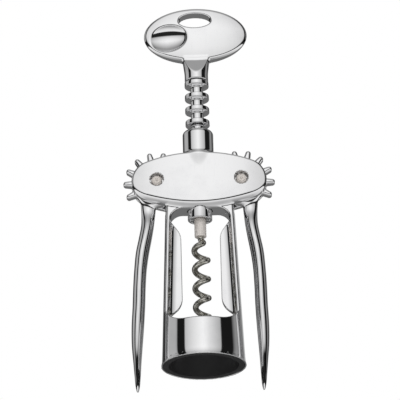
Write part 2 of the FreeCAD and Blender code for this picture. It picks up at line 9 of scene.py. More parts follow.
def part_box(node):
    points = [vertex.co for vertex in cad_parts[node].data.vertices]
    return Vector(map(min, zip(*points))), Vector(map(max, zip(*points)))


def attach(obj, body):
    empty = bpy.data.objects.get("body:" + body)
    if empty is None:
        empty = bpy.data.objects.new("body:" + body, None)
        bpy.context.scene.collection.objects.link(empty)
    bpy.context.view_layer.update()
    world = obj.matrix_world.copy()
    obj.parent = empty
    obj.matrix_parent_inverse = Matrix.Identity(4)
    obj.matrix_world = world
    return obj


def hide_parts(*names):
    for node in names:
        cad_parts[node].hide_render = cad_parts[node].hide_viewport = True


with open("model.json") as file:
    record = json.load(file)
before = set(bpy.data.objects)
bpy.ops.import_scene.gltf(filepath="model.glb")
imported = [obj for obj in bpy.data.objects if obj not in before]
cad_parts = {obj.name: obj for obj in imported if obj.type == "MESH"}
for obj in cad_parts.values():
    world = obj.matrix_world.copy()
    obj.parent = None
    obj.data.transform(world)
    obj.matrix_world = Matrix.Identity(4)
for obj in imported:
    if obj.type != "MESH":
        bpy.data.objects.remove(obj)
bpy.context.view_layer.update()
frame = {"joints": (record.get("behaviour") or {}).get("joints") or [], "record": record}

# Everything below is worked out in millimetres and stored in metres.
mm = 0.001
jointPlace = {joint["name"]: joint.get("pos_m") for joint in frame["joints"]}
pivotX = jointPlace["lever_right_pivot"][0] / mm
pivotZ = jointPlace["lever_right_pivot"][2] / mm


def boxOf(node):
    low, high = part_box(node)
    return [value / mm for value in low], [value / mm for value in high]


def roundMax(a, b, radius):
    # both at once (an intersection); the outer corner is an arc of this radius
    corner = np.hypot(np.maximum(a + radius, 0), np.maximum(b + radius, 0))
    return np.minimum(np.maximum(a, b), -radius) + corner


def roundMin(a, b, radius):
    # either one (a union); the inner corner is filled by a fillet of this radius
    corner = np.hypot(np.maximum(radius - a, 0), np.maximum(radius - b, 0))
    return np.maximum(np.minimum(a, b), radius) - corner


def smoothStep(low, high, value):
    share = np.clip((value - low) / (high - low), 0, 1)
    return share * share * (3 - 2 * share)


def ovalDistance(x, z, halfX, halfZ):
    # first-order distance to an ellipse: (|p/h| - 1) over its slope
    near = np.hypot(x / halfX, z / halfZ) + 1e-6
    slope = np.hypot(x / halfX ** 2, z / halfZ ** 2) + 1e-6
    return (near - 1) * near / slope


def storeMesh(name, points, quads, normals=None):
    mesh = bpy.data.meshes.new(name)
    mesh.vertices.add(len(points))
    mesh.vertices.foreach_set("co", (points * mm).astype(np.float32).ravel())
    mesh.loops.add(quads.size)
    mesh.loops.foreach_set("vertex_index", quads.astype(np.int32).ravel())
    mesh.polygons.add(len(quads))
    mesh.polygons.foreach_set("loop_start", np.arange(0, quads.size, 4, dtype=np.int32))
    mesh.polygons.foreach_set("loop_total", np.full(len(quads), 4, np.int32))
    mesh.polygons.foreach_set("use_smooth", np.ones(len(quads), bool))
    mesh.update(calc_edges=True)
    mesh.validate()
    if normals is not None:
        mesh.normals_split_custom_set_from_vertices(normals.astype(np.float32))
    piece = bpy.data.objects.new(name, mesh)
    bpy.context.scene.collection.objects.link(piece)
    return piece


def slopeOf(field, points, reach=0.02):
    # central differences of the field along each axis
    slope = np.empty_like(points)
    for axis in range(3):
        step = np.zeros(3)
        step[axis] = reach
        ahead = field(*(points + step).T)
        behind = field(*(points - step).T)
        slope[:, axis] = (ahead - behind) / (2 * reach)
    return slope


def castSurface(name, field, low, high, cell):
    # The casting's skin is where field(x, y, z) is zero, negative inside. Each grid cell that the
    # skin crosses gets one point, the mean of its edge crossings, then moved onto the skin along
    # the field's slope. Each grid edge that crosses the skin gives one four-sided face.
    axes = [np.arange(low[i] - cell, high[i] + 2 * cell, cell) for i in range(3)]
    counts = [len(axis) for axis in axes]
    values = np.empty(counts, np.float32)
    for i, x in enumerate(axes[0]):
        values[i] = field(x, axes[1][:, None], axes[2][None, :])
    inside = values < 0
    cells = [count - 1 for count in counts]
    total = np.zeros(cells + [3], np.float32)
    hits = np.zeros(cells, np.float32)
    crossings = []
    for axis in range(3):
        first = [slice(None)] * 3
        second = [slice(None)] * 3
        first[axis] = slice(0, -1)
        second[axis] = slice(1, None)
        a, b = values[tuple(first)], values[tuple(second)]
        crossed = inside[tuple(first)] != inside[tuple(second)]
        index = np.argwhere(crossed)
        share = a[crossed] / (a[crossed] - b[crossed])
        spot = index.astype(np.float32)
        spot[:, axis] += share
        crossings.append((index, inside[tuple(first)][crossed]))
        others = [i for i in range(3) if i != axis]
        for stepA in (0, -1):
            for stepB in (0, -1):
                where = index.copy()
                where[:, others[0]] += stepA
                where[:, others[1]] += stepB
                kept = np.all((where >= 0) & (where < np.array(cells)), axis=1)
                place = tuple(where[kept].T)
                np.add.at(total, place, spot[kept])
                np.add.at(hits, place, 1)
    used = hits > 0
    number = np.full(cells, -1, np.int64)
    number[used] = np.arange(np.count_nonzero(used))
    start = np.array([axis[0] for axis in axes])
    points = total[used].astype(float) / hits[used][:, None].astype(float) * cell + start
    quads = []
    for axis in range(3):
        index, startsInside = crossings[axis]
        u, v = [i for i in range(3) if i != axis]
        ring = []
        for stepU, stepV in ((-1, -1), (0, -1), (0, 0), (-1, 0)):
            where = index.copy()
            where[:, u] += stepU
            where[:, v] += stepV
            ring.append(number[tuple(where.T)])
        face = np.stack(ring, axis=1)
        flip = startsInside if axis == 1 else ~startsInside
        face[flip] = face[flip][:, ::-1]
        quads.append(face)
    quads = np.concatenate(quads)
    for _ in range(4):
        slope = slopeOf(field, points)
        steep = np.maximum((slope ** 2).sum(1), 0.05)
        move = slope * (field(*points.T) / steep)[:, None]
        length = np.linalg.norm(move, axis=1)[:, None]
        points -= move * np.minimum(1, 0.5 * cell / np.maximum(length, 1e-9))
    slope = slopeOf(field, points)
    normals = slope / np.maximum(np.linalg.norm(slope, axis=1)[:, None], 1e-9)
    print("  %s: %d faces" % (name, len(quads)))
    return storeMesh(name, points, quads, normals)


def turnedSurface(name, profile, around=96, along=None):
    # A closed profile of (radius, height) turned about +Z, or about the line +Y through "along".
    profile = np.array(profile, float)
    angle = np.linspace(0, 2 * math.pi, around, endpoint=False)
    radius = profile[:, 0][:, None]
    height = np.repeat(profile[:, 1][:, None], around, axis=1)
    x = radius * np.cos(angle)
    y = radius * np.sin(angle)
    if along is None:
        points = np.stack([x, y, height], axis=-1)
    else:
        points = np.stack([x + along[0], -height, y + along[1]], axis=-1)
    return gridSurface(name, points, closedRows=True)


def gridSurface(name, points, closedRows=False, caps=False):
    # points[i, j]: j runs round the section, i along the path or round the profile
    rows, columns = points.shape[:2]
    i = np.arange(rows if closedRows else rows - 1)[:, None]
    j = np.arange(columns)[None, :]
    nextI = (i + 1) % rows
    nextJ = (j + 1) % columns
    quads = np.stack(np.broadcast_arrays(
        i * columns + j, i * columns + nextJ, nextI * columns + nextJ, nextI * columns + j),
        axis=-1).reshape(-1, 4)
    piece = storeMesh(name, points.reshape(-1, 3), quads)
    if caps:
        closeEnds(piece)
    return piece


def closeEnds(piece):
    work = bmesh.new()
    work.from_mesh(piece.data)
    rim = [edge for edge in work.edges if edge.is_boundary]
    bmesh.ops.holes_fill(work, edges=rim, sides=0)
    bmesh.ops.recalc_face_normals(work, faces=work.faces)
    work.to_mesh(piece.data)
    work.free()


def roundedProfile(corners, steps=6):
    # corners: (radius, height, rounding); each corner becomes an arc that touches both its sides
    corners = np.array(corners, float)
    rounded = []
    for index in range(len(corners)):
        here = corners[index]
        before = corners[index - 1][:2] - here[:2]
        after = corners[(index + 1) % len(corners)][:2] - here[:2]
        lengthA, lengthB = np.linalg.norm(before), np.linalg.norm(after)
        before, after = before / lengthA, after / lengthB
        half = math.acos(np.clip(before @ after, -0.9999, 0.9999)) / 2
        radius = min(here[2], 0.48 * min(lengthA, lengthB) * math.tan(half))
        if radius < 1e-3:
            rounded.append(here[:2])
            continue
        back = radius / math.tan(half)
        start, stop = here[:2] + before * back, here[:2] + after * back
        share = np.linspace(0, 1, steps)[:, None]
        bend = (1 - share) ** 2 * start + 2 * share * (1 - share) * here[:2] + share ** 2 * stop
        rounded.extend(bend)
    return np.array(rounded)


def newGroup(name, inputs, outputs):
    group = bpy.data.node_groups.new(name, "ShaderNodeTree")
    for label, kind, default in inputs:
        socket = group.interface.new_socket(name=label, in_out="INPUT", socket_type=kind)
        if default is not None:
            socket.default_value = default
    for label, kind in outputs:
        group.interface.new_socket(name=label, in_out="OUTPUT", socket_type=kind)
    start = group.nodes.new("NodeGroupInput")
    stop = group.nodes.new("NodeGroupOutput")
    return group, start, stop


def feed(tree, socket, value):
    if isinstance(value, bpy.types.NodeSocket):
        tree.links.new(value, socket)
    else:
        socket.default_value = value


def addNode(tree, kind, **sockets):
    node = tree.nodes.new(kind)
    for label, value in sockets.items():
        feed(tree, node.inputs[label.replace("_", " ")], value)
    return node


def mathNode(tree, operation, first, second=0.0):
    node = tree.nodes.new("ShaderNodeMath")
    node.operation = operation
    for index, value in enumerate((first, second)):
        feed(tree, node.inputs[index], value)
    return node.outputs[0]


def polishGroup():
    # handling haze: broad smudges and fine hairlines, as a mask and as a height
    group, start, stop = newGroup("polishWear", [
        ("Smudge Scale", "NodeSocketFloat", 60.0),
        ("Hairline Scale", "NodeSocketFloat", 900.0),
    ], [("Haze", "NodeSocketFloat"), ("Height", "NodeSocketFloat")])
    place = group.nodes.new("ShaderNodeTexCoord").outputs["Object"]
    smudge = addNode(group, "ShaderNodeTexNoise", Vector=place, Detail=3.0, Roughness=0.6,
                     Scale=start.outputs["Smudge Scale"])
    stretch = addNode(group, "ShaderNodeMapping", Vector=place, Scale=(1.0, 1.0, 0.06))
    hair = addNode(group, "ShaderNodeTexNoise", Vector=stretch.outputs[0], Detail=2.0,
                   Scale=start.outputs["Hairline Scale"])
    broad = addNode(group, "ShaderNodeMapRange", Value=smudge.outputs["Fac"])
    broad.inputs["From Min"].default_value = 0.48
    broad.inputs["From Max"].default_value = 0.72
    fine = addNode(group, "ShaderNodeMapRange", Value=hair.outputs["Fac"])
    fine.inputs["From Min"].default_value = 0.62
    fine.inputs["From Max"].default_value = 0.75
    both = mathNode(group, "MAXIMUM", broad.outputs[0],
                    mathNode(group, "MULTIPLY", fine.outputs[0], 0.5))
    group.links.new(both, stop.inputs["Haze"])
    group.links.new(hair.outputs["Fac"], stop.inputs["Height"])
    return group


def grainGroup():
    # fine moulded or drawn grain as a height, and slow cloudy variation as a mask
    group, start, stop = newGroup("fineGrain", [
        ("Vector", "NodeSocketVector", None),
        ("Grain Scale", "NodeSocketFloat", 2500.0),
        ("Cloud Scale", "NodeSocketFloat", 120.0),
    ], [("Height", "NodeSocketFloat"), ("Cloud", "NodeSocketFloat")])
    grain = addNode(group, "ShaderNodeTexNoise", Vector=start.outputs["Vector"], Detail=4.0,
                    Scale=start.outputs["Grain Scale"])
    cloud = addNode(group, "ShaderNodeTexNoise", Vector=start.outputs["Vector"], Detail=3.0,
                    Scale=start.outputs["Cloud Scale"])
    group.links.new(grain.outputs["Fac"], stop.inputs["Height"])
    group.links.new(cloud.outputs["Fac"], stop.inputs["Cloud"])
    return group


polishWear = polishGroup()
fineGrain = grainGroup()


def newMaterial(name):
    material = bpy.data.materials.new(name)
    material.use_nodes = True
    tree = material.node_tree
    return material, tree, tree.nodes["Principled BSDF"]


def useGroup(tree, group, **values):
    node = tree.nodes.new("ShaderNodeGroup")
    node.node_tree = group
    for label, value in values.items():
        feed(tree, node.inputs[label.replace("_", " ")], value)
    return node


def spread(tree, mask, low, high):
    node = addNode(tree, "ShaderNodeMapRange", Value=mask)
    node.inputs["To Min"].default_value = low
    node.inputs["To Max"].default_value = high
    return node.outputs[0]


def mixColours(tree, kind, share, low, high):
    node = tree.nodes.new("ShaderNodeMix")
    node.data_type = "RGBA"
    node.blend_type = kind
    for label, value in (("Factor", share), ("A", low), ("B", high)):
        feed(tree, node.inputs[label], value)
    return node.outputs["Result"]


def blendColours(tree, mask, low, high):
    return mixColours(tree, "MIX", mask, low, high)


def bumpNode(tree, height, distance, strength):
    node = addNode(tree, "ShaderNodeBump", Height=height)
    node.inputs["Distance"].default_value = distance
    node.inputs["Strength"].default_value = strength
    return node.outputs[0]


chromePlate = {
    "bright": (0.90, 0.90, 0.905, 1.0),
    "hazed": (0.84, 0.84, 0.85, 1.0),
    "roughness": (0.025, 0.075),
    "smudges": 70.0,
    "hairlines": 1100.0,
}


def chromeMaterial():
    material, tree, shader = newMaterial("brightChrome")
    wear = useGroup(tree, polishWear, Smudge_Scale=chromePlate["smudges"],
                    Hairline_Scale=chromePlate["hairlines"])
    haze = wear.outputs["Haze"]
    tree.links.new(blendColours(tree, haze, chromePlate["bright"], chromePlate["hazed"]),
                   shader.inputs["Base Color"])
    tree.links.new(spread(tree, haze, *chromePlate["roughness"]), shader.inputs["Roughness"])
    tree.links.new(bumpNode(tree, wear.outputs["Height"], 0.00001, 0.12),
                   shader.inputs["Normal"])
    shader.inputs["Metallic"].default_value = 1.0
    return material


wormSteel = {
    "light": (0.80, 0.78, 0.72, 1.0),
    "dark": (0.24, 0.23, 0.19, 1.0),
    "roughness": (0.18, 0.34),
}


def wormMaterial():
    material, tree, shader = newMaterial("darkWormSteel")
    place = tree.nodes.new("ShaderNodeTexCoord").outputs["Object"]
    grain = useGroup(tree, fineGrain, Vector=place, Grain_Scale=1800.0, Cloud_Scale=520.0)
    cloud = addNode(tree, "ShaderNodeMapRange", Value=grain.outputs["Cloud"])
    cloud.inputs["From Min"].default_value = 0.35
    cloud.inputs["From Max"].default_value = 0.7
    tree.links.new(blendColours(tree, cloud.outputs[0], wormSteel["light"], wormSteel["dark"]),
                   shader.inputs["Base Color"])
    tree.links.new(spread(tree, cloud.outputs[0], *wormSteel["roughness"]),
                   shader.inputs["Roughness"])
    tree.links.new(bumpNode(tree, grain.outputs["Height"], 0.00004, 0.35),
                   shader.inputs["Normal"])
    shader.inputs["Metallic"].default_value = 1.0
    return material


pinFinish = {
    "light": (0.94, 0.89, 0.84, 1),
    "dark": (0.84, 0.77, 0.71, 1),
    "roughness": (0.34, 0.44),
    "stretch": (1.0, 0.15, 1.0),
    "metallic": 0.4,
    "relief": 0.02,
}
ferruleFinish = {
    "light": (0.95, 0.90, 0.86, 1),
    "dark": (0.84, 0.78, 0.73, 1),
    "roughness": (0.42, 0.55),
    "stretch": (1.0, 1.0, 0.08),
    "metallic": 0.35,
    "relief": 0.4,
}
spindleFinish = {
    "light": (0.74, 0.74, 0.73, 1),
    "dark": (0.58, 0.58, 0.57, 1),
    "roughness": (0.2, 0.35),
    "stretch": (0.1, 0.1, 1.0),
    "metallic": 1.0,
    "relief": 0.4,
}


def satinSteel(name, finish):
    # drawn or turned steel: the grain runs along the axis that is scaled least
    material, tree, shader = newMaterial(name)
    place = tree.nodes.new("ShaderNodeTexCoord").outputs["Object"]
    drawn = addNode(tree, "ShaderNodeMapping", Vector=place, Scale=finish["stretch"])
    grain = useGroup(tree, fineGrain, Vector=drawn.outputs[0], Grain_Scale=1500.0,
                     Cloud_Scale=300.0)
    tree.links.new(blendColours(tree, grain.outputs["Cloud"], finish["light"], finish["dark"]),
                   shader.inputs["Base Color"])
    tree.links.new(spread(tree, grain.outputs["Cloud"], *finish["roughness"]),
                   shader.inputs["Roughness"])
    tree.links.new(bumpNode(tree, grain.outputs["Height"], 0.00003, finish["relief"]),
                   shader.inputs["Normal"])
    shader.inputs["Metallic"].default_value = finish["metallic"]
    return material


linerPlastic = {
    "light": (0.030, 0.030, 0.031, 1.0),
    "dark": (0.016, 0.016, 0.017, 1.0),
    "roughness": (0.42, 0.6),
}


def linerMaterial():
    material, tree, shader = newMaterial("blackLinerPlastic")
    place = tree.nodes.new("ShaderNodeTexCoord").outputs["Object"]
    grain = useGroup(tree, fineGrain, Vector=place, Grain_Scale=3200.0, Cloud_Scale=90.0)
    tree.links.new(blendColours(tree, grain.outputs["Cloud"], linerPlastic["light"],
                                linerPlastic["dark"]), shader.inputs["Base Color"])
    tree.links.new(spread(tree, grain.outputs["Cloud"], *linerPlastic["roughness"]),
                   shader.inputs["Roughness"])
    tree.links.new(bumpNode(tree, grain.outputs["Height"], 0.00006, 0.5),
                   shader.inputs["Normal"])
    return material


brightChrome = chromeMaterial()
darkWormSteel = wormMaterial()
pinSteel = satinSteel("satinPinSteel", pinFinish)
ferruleSteel = satinSteel("drawnFerruleSteel", ferruleFinish)
spindleSteel = satinSteel("turnedSpindleSteel", spindleFinish)
linerBlack = linerMaterial()
print("materials made")


def finishPiece(piece, material, body, slot, *nodes):
    piece.data.materials.clear()
    piece.data.materials.append(material)
    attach(piece, body)
    if nodes:
        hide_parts(*nodes)
    return piece


casting = {
    "wall": 1.5,
    "coneFoot": 19.52,
    "coneDrop": 0.0396,
    "lipFlare": 0.43,
    "lipFade": 1.5,
    "cell": 0.42,
    "windowHalf": 17.4,
    "windowFloor": 18.6,
    "windowCorner": 9.5,
    "arch": 77.1,
    "archCorner": 5.5,
    "legDepth": (6.1, 5.6),
    "legDepthHeights": (20, 77),
    "webThickness": 1.6,
    "webEdge": 9.15,
    "webEnds": (25.0, 71.5),
    "webRound": 8.5,
    "webFillet": 4.8,
    "plateHeight": 91.4,
    "plateDome": 2.1,
    "plateDepth": 7.4,
    "plateEnd": 10.0,
    "plateHalfHeight": 13.8,
    "plateRim": 1.1,
    "plateLowRim": 1.7,
    "plateLowRimDrops": (2, 8),
    "plateBlend": 1.2,
    "collarRadius": 7.35,
    "collarBlend": 1.8,
    "collarFade": 2.6,
    "collarFadeHeights": (91.0, 107.0),
    "collarCrown": 2.2,
    "boreRadius": 6.05,
    "gearRoom": 16.5,
    "slotWidth": 5.0,
    "pinRecess": (3.2, 1.3),
    "edge": 0.45,
    "legEdge": 0.72,
    "fineEdge": 0.35,
    "mouthEdge": 0.3,
}


def plateOval(x, z, half, rise, end):
    # two end arcs and two long arcs that meet them tangentially
    run = half - end
    long = (run ** 2 + rise ** 2 - end ** 2) / (2 * (rise - end))
    x, z = np.abs(x), np.abs(z)
    atEnd = (x - run) * (long - rise) - z * run > 0
    return np.where(atEnd, np.hypot(x - run, z) - end, np.hypot(x, z + long - rise) - long)


def castingField(x, y, z):
    c = casting
    edge = c["edge"]
    frameTop = boxOfFrame[1][2]
    halfPlate = boxOfFrame[1][0]
    r = np.hypot(x, y)
    cone = c["coneFoot"] - c["coneDrop"] * z
    outside = r - (cone + c["lipFlare"] * np.exp(-np.maximum(z, 0) / c["lipFade"]))
    cavity = roundMax(r - (cone - c["wall"]), z - c["arch"], c["archCorner"])
    seat = np.maximum(r - linerSeat, z - linerFlange)
    shell = roundMax(outside, -cavity, edge)
    shell = roundMax(shell, -seat, 0.1)
    shell = roundMax(shell, -z, c["mouthEdge"])
    shell = roundMax(shell, z - c["arch"] - 7, edge)
    opening = roundMax(np.abs(x) - c["windowHalf"], c["windowFloor"] - z, c["windowCorner"])
    low, high = c["legDepth"]
    depth = low + (high - low) * smoothStep(*c["legDepthHeights"], z)
    opening = np.maximum(opening, depth - np.abs(y))
    shell = roundMax(shell, -opening, c["legEdge"])
    webLow, webHigh = c["webEnds"]
    web = roundMax(c["webEdge"] - np.abs(x), z - webHigh, c["webRound"])
    web = roundMax(web, webLow - z, c["webRound"])
    web = roundMax(web, np.abs(y) - c["webThickness"] / 2, c["fineEdge"])
    body = np.maximum(roundMin(shell, web, c["webFillet"]), outside)
    oval = plateOval(x, z - c["plateHeight"], halfPlate, c["plateHalfHeight"], c["plateEnd"])
    bulge = c["plateDepth"] - c["plateDome"] * (x / halfPlate) ** 4
    rim = c["plateRim"] + c["plateLowRim"] * smoothStep(*c["plateLowRimDrops"], c["plateHeight"] - z)
    plate = roundMax(oval, np.abs(y) - bulge, rim)
    fading = c["collarFade"] * (1 - smoothStep(*c["collarFadeHeights"], z))
    collar = roundMax(r - c["collarRadius"] + fading, z - frameTop, c["collarCrown"])
    collar = np.maximum(collar, c["arch"] - z)
    head = roundMin(plate, collar, c["collarBlend"])
    body = roundMin(body, head, c["plateBlend"])
    bore = np.maximum(r - c["boreRadius"], c["arch"] - 5 - z)
    body = roundMax(body, -bore, c["fineEdge"])
    pivot = np.hypot(np.abs(x) - pivotX, z - pivotZ)
    slotHalf = c["slotWidth"] / 2
    slot = roundMax(pivot - c["gearRoom"], np.abs(y) - slotHalf, 0.2)
    body = roundMax(body, -slot, c["fineEdge"])
    recess, deep = c["pinRecess"]
    sunk = np.maximum(pivot - recess, pinFace - deep - np.abs(y))
    body = roundMax(body, -sunk, 0.2)
    return np.maximum(body, pinRadius - pivot)


boxOfFrame = boxOf("frame")
linerSeat = boxOf("bell_liner")[1][0]
linerFlange = 1.3
pinBox = boxOf("pivot_pin_right")
pinRadius = (pinBox[1][0] - pinBox[0][0]) / 2
pinDome = 0.35
pinFace = pinBox[1][1] - pinDome


def makeFrameCasting():
    piece = castSurface("frame_casting", castingField, boxOfFrame[0], boxOfFrame[1],
                        casting["cell"])
    finishPiece(piece, brightChrome, "frame", "chrome", "frame")


makeFrameCasting()
print("frame casting made")


def makeLiner():
    low, high = boxOf("bell_liner")
    bore = frame["record"]["mounts"][0]["dims"]["r_mm"]
    seat = high[0]
    coneWall = casting["coneFoot"] - casting["wall"]
    top = high[2]
    upper = coneWall - casting["coneDrop"] * top
    profile = roundedProfile([
        (bore, low[2], 0.5),
        (seat, low[2], 0.6),
        (seat, linerFlange, 0.2),
        (coneWall - casting["coneDrop"] * linerFlange, linerFlange, 0.1),
        (upper, top, 0.2),
        (bore, top, 0.5),
    ])
    piece = turnedSurface("bell_liner_ring", profile, 144)
    finishPiece(piece, linerBlack, "frame", "liner_plastic", "bell_liner")


makeLiner()


def makePins():
    for word, side in (("left", -1), ("right", 1)):
        face = pinBox[1][1]
        profile = roundedProfile([
            (0.001, -face, 0.0),
            (pinRadius * 0.55, -face + 0.08, 0.3),
            (pinRadius, -pinFace, 0.3),
            (pinRadius, pinFace, 0.3),
            (pinRadius * 0.55, face - 0.08, 0.3),
            (0.001, face, 0.0),
        ])
        piece = turnedSurface("pivot_pin_%s_turned" % word, profile, 64,
                              along=(side * pivotX, pivotZ))
        finishPiece(piece, pinSteel, "frame", "pin_steel", "pivot_pin_" + word)


makePins()
print("liner and pins made")


leverArm = {
    "length": 103.6,
    "depth": 4.9,
    "open": {"left": 6.0, "right": 4.2},
    # share of length, outward offset, half width, share of full depth
    "stations": [
        (0.060, 3.10, 3.70, 0.42), (0.095, 3.10, 3.70, 0.42), (0.150, 2.75, 3.30, 0.46),
        (0.205, 2.60, 3.05, 0.76), (0.270, 3.10, 3.10, 0.95), (0.340, 3.80, 3.15, 1.00),
        (0.420, 4.00, 3.00, 1.00), (0.500, 3.75, 3.00, 1.00), (0.600, 3.15, 3.00, 0.98),
        (0.700, 2.75, 2.95, 0.94), (0.790, 2.20, 2.55, 0.86), (0.870, 1.40, 1.90, 0.70),
        (0.930, 0.75, 1.45, 0.50), (0.980, 0.25, 0.95, 0.32), (1.004, 0.00, 0.40, 0.14),
    ],
    "gearRoot": 11.6,
    "gearTip": 15.9,
    "gearThickness": 4.4,
    "toothTip": 1.28,
    "toothSpread": 0.13,
    "teeth": 11,
    "teethAround": 14,
    # the tooth that faces the rack at rest: mesh angle plus mean opening, in degrees
    "facingTooth": 0.5 + 5.1,
    "teethBelowIt": 2,
    "gearEdge": 1.25,
    "toothFillet": 0.8,
    "armFillet": 1.6,
    "pinGap": 0.06,
    "cell": 0.36,
}


def smoothTable(share, table):
    # cubic Hermite curve through the stations
    keys, heights = table
    slopes = np.gradient(heights, keys)
    share = np.clip(share, keys[0], keys[-1])
    index = np.clip(np.searchsorted(keys, share) - 1, 0, len(keys) - 2)
    span = keys[index + 1] - keys[index]
    t = (share - keys[index]) / span
    t2, t3 = t * t, t * t * t
    return ((2 * t3 - 3 * t2 + 1) * heights[index] + (t3 - 2 * t2 + t) * span * slopes[index]
            + (3 * t2 - 2 * t3) * heights[index + 1] + (t3 - t2) * span * slopes[index + 1])


def leverField(side, word):
    a = leverArm
    stations = np.array(a["stations"])
    tables = [(stations[:, 0], stations[:, column]) for column in (1, 2, 3)]
    tilt = math.radians(a["open"][word])
    toothStep = 360 / a["teethAround"]
    firstTooth = a["facingTooth"] - a["teethBelowIt"] * 360 / a["teethAround"]

    def field(x, y, z):
        out = (x - side * pivotX) * side
        up = z - pivotZ
        u = math.cos(tilt) * out + math.sin(tilt) * up
        w = -math.sin(tilt) * out + math.cos(tilt) * up
        share = -w / a["length"]
        offset, half, depth = (smoothTable(share, table) for table in tables)
        arm = ovalDistance(u - offset, y, half, depth * a["depth"])
        ends = np.maximum(stations[0, 0] * a["length"] + w, -w - a["length"] * 1.003)
        arm = roundMax(arm, ends, 0.4)
        r = np.hypot(u, w)
        angle = np.degrees(np.arctan2(w, -u))
        number = np.round((angle - firstTooth) / toothStep)
        turns = 360 / toothStep
        number = np.where(number > a["teeth"] - 1 + 1.5, number - turns, number)
        number = np.where(number < -1.5, number + turns, number)
        number = np.clip(number, 0, a["teeth"] - 1)
        off = np.radians(angle - firstTooth - number * toothStep)
        along, across = r * np.cos(off), r * np.sin(off)
        knuckle = a["gearTip"] - a["toothTip"]
        width = a["toothTip"] + a["toothSpread"] * np.clip(knuckle - along, 0, 6)
        tooth = np.hypot(np.maximum(along - knuckle, 0), across) - width
        tooth = np.maximum(tooth, 4 - along)
        gear = roundMin(r - a["gearRoot"], tooth, a["toothFillet"])
        gear = roundMax(gear, np.abs(y) - a["gearThickness"] / 2, a["gearEdge"])
        whole = roundMin(gear, arm, a["armFillet"])
        return np.maximum(whole, pinRadius + a["pinGap"] - r)

    return field


def makeLevers():
    for word, side in (("left", -1), ("right", 1)):
        node = "lever_" + word
        low, high = boxOf(node)
        piece = castSurface(node + "_casting", leverField(side, word), low, high,
                            leverArm["cell"])
        finishPiece(piece, brightChrome, node, "chrome", node)


makeLevers()
print("levers made")


rackSleeve = {
    "radius": 5.8,
    "bore": 1.65,
    "core": 3.05,
    "rim": 2.4,
    "foot": 2.8,
    "pitch": 6.74,
    "discs": 10,
    "pitchesToTop": 7.5,
    "rimRound": 0.5,
    "recess": 1.6,
    "footWall": 1.1,
    "footLength": 7.0,
    "meshShift": 0.13,
}


def makeRack():
    k = rackSleeve
    low, high = boxOf("rack")
    bore = k["bore"]
    corners = [
        (bore, low[2] + k["recess"], 0.1),
        (k["radius"] - k["footWall"], low[2] + k["recess"], 0.3),
        (k["radius"] - k["footWall"], low[2], 0.3),
        (k["radius"], low[2], 0.5),
        (k["radius"], low[2] + k["footLength"], 0.6),
        (k["core"], low[2] + k["footLength"] + 1, 0.5),
    ]
    top = pivotZ + k["meshShift"] + k["pitchesToTop"] * k["pitch"]
    for number in range(k["discs"] - 1, -1, -1):
        middle = top - number * k["pitch"]
        corners += [
            (k["core"], middle - k["foot"] / 2, 0.6),
            (k["radius"], middle - k["rim"] / 2, k["rimRound"]),
            (k["radius"], middle + k["rim"] / 2, k["rimRound"]),
            (k["core"], middle + k["foot"] / 2, 0.6),
        ]
    corners += [(k["core"], high[2], 0.2), (bore, high[2], 0.2)]
    piece = turnedSurface("rack_turned", roundedProfile(corners, 7), 128)
    finishPiece(piece, brightChrome, "rack", "chrome", "rack")


makeRack()
print("rack made")


knobShape = {
    "depth": 3.5,
    "rimDepth": 2.9,
    "endDepth": 1.1,
    "rimRound": 1.5,
    "centre": 167.8,
    "halfWidth": 24.85,
    "halfHeight": 13.9,
    "hole": (-0.2, 175.1, 7.8, 3.6),
    "holeRound": 0.8,
    "dimple": (-13.4, 165.95, 9.3, 6.9),
    "dimpleDepth": 2.6,
    "dimpleTilt": 8.0,
    "shank": 5.65,
    "shankFoot": 143.9,
    "neckStart": 146.6,
    "neckTop": 156.0,
    "neckRadius": 6.5,
    "facetStart": 147.3,
    "facetSlope": 0.36,
    "cell": 0.28,
}


def knobField(x, y, z):
    k = knobShape
    up = z - k["centre"]
    oval = ovalDistance(x, up, k["halfWidth"], k["halfHeight"])
    # an ellipsoid's face: |y| = depth sqrt(1 - (x/a)^2 - (z/b)^2), a and b from the depths at the
    # ends and at the top and bottom edges
    thinX = (1 - (k["endDepth"] / k["depth"]) ** 2) / k["halfWidth"] ** 2
    thinZ = (1 - (k["rimDepth"] / k["depth"]) ** 2) / k["halfHeight"] ** 2
    swell = k["depth"] * np.sqrt(np.maximum(1 - thinX * x ** 2 - thinZ * up ** 2, 0.03))
    face = roundMax(oval, np.abs(y) - swell, k["rimRound"])
    neckTop = smoothStep(k["neckStart"], k["neckTop"], z)
    radius = k["shank"] + (k["neckRadius"] - k["shank"]) * neckTop
    neck = np.hypot(x, y) - radius
    facet = np.abs(y) - k["shank"] + k["facetSlope"] * (z - k["facetStart"])
    neck = roundMax(neck, facet * 0.98, 0.25)
    neck = roundMax(neck, k["shankFoot"] - z, 0.5)
    neck = roundMax(neck, z - k["neckTop"] - 3, 1.0)
    body = roundMin(face, neck, 1.0)
    holeX, holeZ, holeW, holeH = k["hole"]
    hole = ovalDistance(x - holeX, z - holeZ, holeW, holeH)
    body = roundMax(body, -hole, k["holeRound"])
    dimpleX, dimpleZ, halfW, halfH = k["dimple"]
    tilt = math.radians(k["dimpleTilt"])
    u = math.cos(tilt) * (x - dimpleX) + math.sin(tilt) * (z - dimpleZ)
    w = -math.sin(tilt) * (x - dimpleX) + math.cos(tilt) * (z - dimpleZ)
    v = (y + k["depth"] - 0.45) / k["dimpleDepth"]
    size = np.sqrt((u / halfW) ** 2 + (w / halfH) ** 2 + v ** 2)
    scoop = (size - 1) * k["dimpleDepth"]
    return roundMax(body, -scoop, 0.35)


def makeKnob():
    low, high = boxOf("knob")
    piece = castSurface("knob_casting", knobField, low, high, knobShape["cell"])
    finishPiece(piece, brightChrome, "screw", "chrome", "knob")


makeKnob()
print("knob made")


